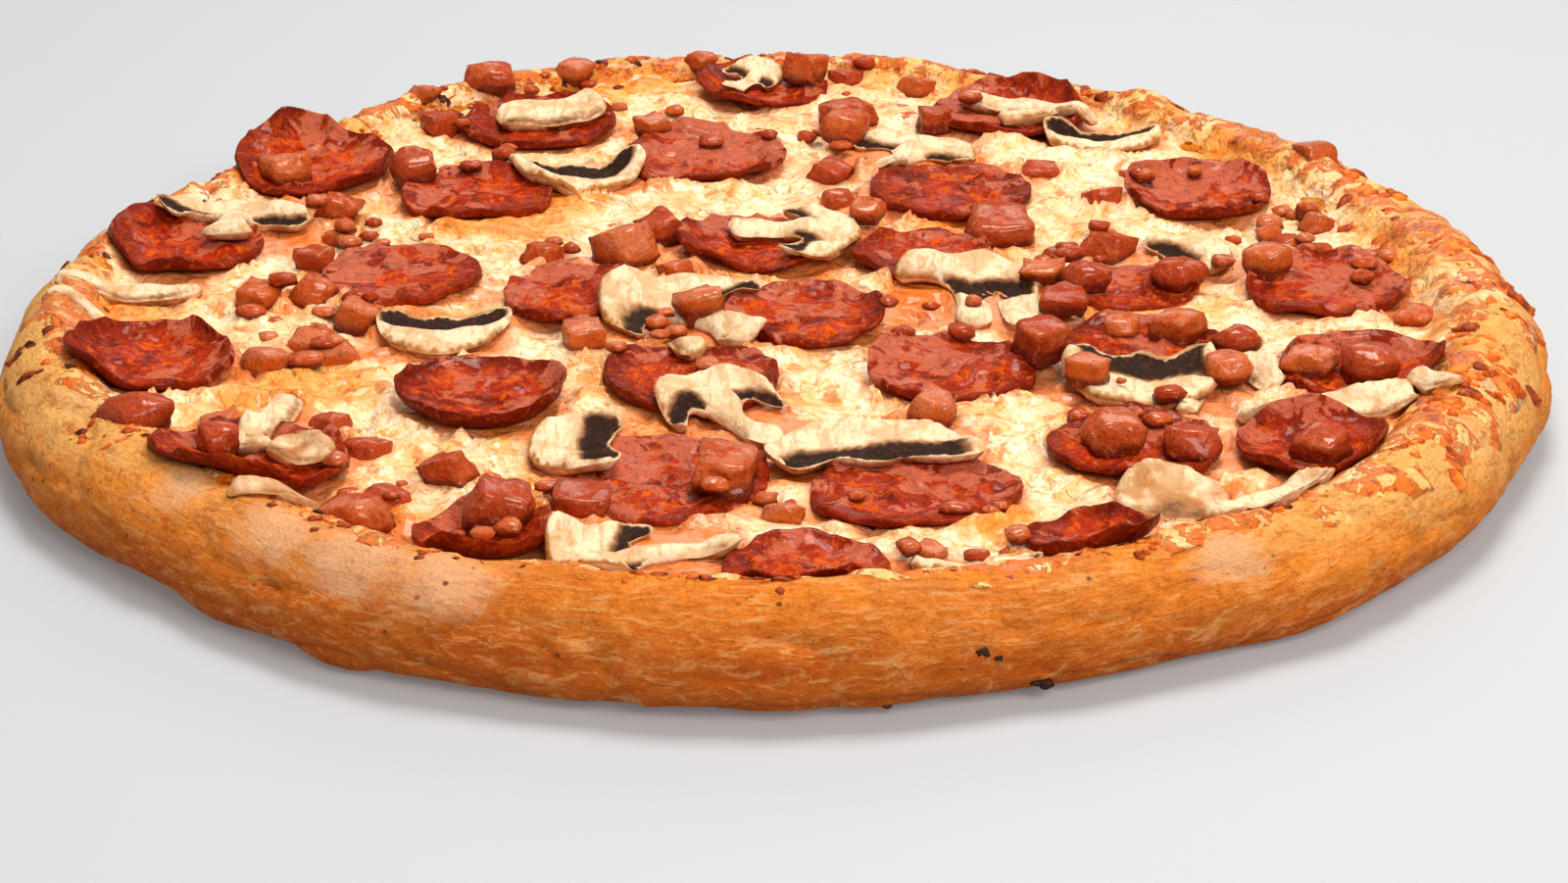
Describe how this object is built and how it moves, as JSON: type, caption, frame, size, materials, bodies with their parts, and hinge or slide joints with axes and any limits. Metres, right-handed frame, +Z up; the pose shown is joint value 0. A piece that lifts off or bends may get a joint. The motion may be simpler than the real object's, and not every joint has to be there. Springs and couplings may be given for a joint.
{
  "type": "pizza",
  "caption": "Whole round pizza with a raised baked crust, melted cheese, and pepperoni, mushroom and ham toppings.",
  "frame": {"origin": "middle of the flat underside", "axes": "+Z up out of the toppings, +X right and +Y to the back as seen from the front"},
  "size_m": [0.3446, 0.3506, 0.0333],
  "materials": {
    "crust": "baked dough, golden tan and matt",
    "cheese": "melted cheese, cream with toasted patches and a soft gloss",
    "pepperoni": "cured sausage, brick red and oily",
    "mushroom": "sliced mushroom, cream with tan edges",
    "ham": "cooked ham pieces, brick pink and moist"
  },
  "bodies": {
    "root": {"crust": "crust", "cheese": "cheese", "pepperoni_01": "pepperoni", "pepperoni_02": "pepperoni", "pepperoni_03": "pepperoni", "pepperoni_04": "pepperoni", "pepperoni_05": "pepperoni", "pepperoni_06": "pepperoni", "pepperoni_07": "pepperoni", "pepperoni_08": "pepperoni", "pepperoni_09": "pepperoni", "pepperoni_10": "pepperoni", "pepperoni_11": "pepperoni", "pepperoni_12": "pepperoni", "pepperoni_13": "pepperoni", "pepperoni_14": "pepperoni", "pepperoni_15": "pepperoni", "pepperoni_16": "pepperoni", "pepperoni_17": "pepperoni", "pepperoni_18": "pepperoni", "pepperoni_19": "pepperoni", "pepperoni_20": "pepperoni", "pepperoni_21": "pepperoni", "pepperoni_22": "pepperoni", "pepperoni_23": "pepperoni", "pepperoni_24": "pepperoni", "pepperoni_25": "pepperoni", "pepperoni_26": "pepperoni", "pepperoni_27": "pepperoni", "pepperoni_28": "pepperoni", "pepperoni_29": "pepperoni", "pepperoni_30": "pepperoni", "mushroom_01": "mushroom", "mushroom_02": "mushroom", "mushroom_03": "mushroom", "mushroom_04": "mushroom", "mushroom_05": "mushroom", "mushroom_06": "mushroom", "mushroom_07": "mushroom", "mushroom_08": "mushroom", "mushroom_09": "mushroom", "mushroom_10": "mushroom", "mushroom_11": "mushroom", "mushroom_12": "mushroom", "mushroom_13": "mushroom", "mushroom_14": "mushroom", "mushroom_15": "mushroom", "mushroom_16": "mushroom", "mushroom_17": "mushroom", "mushroom_18": "mushroom", "mushroom_19": "mushroom", "mushroom_20": "mushroom", "mushroom_21": "mushroom", "mushroom_22": "mushroom", "ham_01": "ham", "ham_02": "ham", "ham_03": "ham", "ham_04": "ham", "ham_05": "ham", "ham_06": "ham"}
  },
  "joints": []
}
